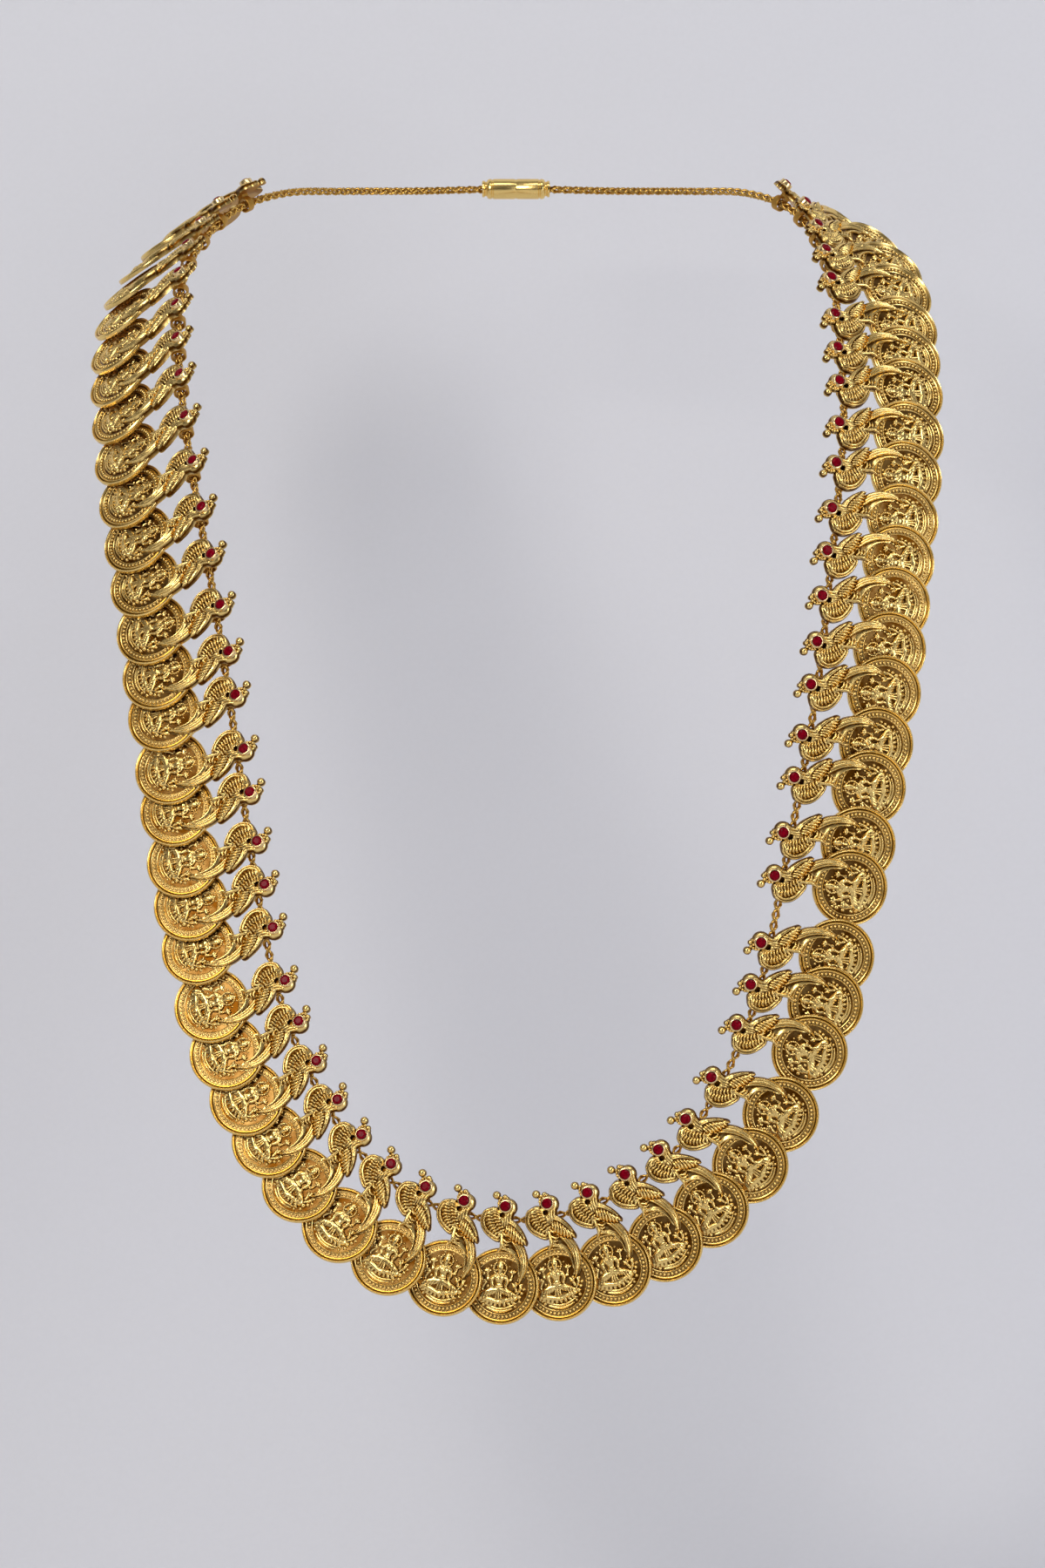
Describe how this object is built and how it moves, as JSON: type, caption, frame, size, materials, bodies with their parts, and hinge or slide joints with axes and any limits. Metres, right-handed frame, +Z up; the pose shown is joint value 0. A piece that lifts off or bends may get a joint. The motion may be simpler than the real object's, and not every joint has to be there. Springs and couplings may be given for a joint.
{
  "type": "temple jewellery necklace",
  "caption": "Long gold necklace of overlapping coin pendants with a seated figure, each hung from a ruby-eyed peacock on a plaited chain closed by a barrel clasp.",
  "frame": {"origin": "middle of the neck opening, at the height of the nape, where the neck of the wearer goes through the loop", "axes": "+Z up as worn, -Y to the front (the way the chest faces), +X to the viewer's right seen from the front"},
  "size_m": [0.1704, 0.1256, 0.2298],
  "materials": {
    "gold": "polished yellow gold plate over cast metal",
    "plaited_gold": "polished yellow gold plate on a plaited wire chain",
    "ruby": "polished, faceted"
  },
  "bodies": {
    "root": {"pendant_01": "gold", "pendant_02": "gold", "pendant_03": "gold", "pendant_04": "gold", "pendant_05": "gold", "pendant_06": "gold", "pendant_07": "gold", "pendant_08": "gold", "pendant_09": "gold", "pendant_10": "gold", "pendant_11": "gold", "pendant_12": "gold", "pendant_13": "gold", "pendant_14": "gold", "pendant_15": "gold", "pendant_16": "gold", "pendant_17": "gold", "pendant_18": "gold", "pendant_19": "gold", "pendant_20": "gold", "pendant_21": "gold", "pendant_22": "gold", "pendant_23": "gold", "pendant_24": "gold", "pendant_25": "gold", "pendant_26": "gold", "pendant_27": "gold", "pendant_28": "gold", "pendant_29": "gold", "pendant_30": "gold", "pendant_31": "gold", "pendant_32": "gold", "pendant_33": "gold", "pendant_34": "gold", "pendant_35": "gold", "pendant_36": "gold", "pendant_37": "gold", "pendant_38": "gold", "pendant_39": "gold", "pendant_40": "gold", "left_shoulder_pendants": "gold", "right_shoulder_pendants": "gold", "ruby_eyes": "ruby", "carrier_chain": "plaited_gold", "clasp": "gold"}
  },
  "joints": []
}
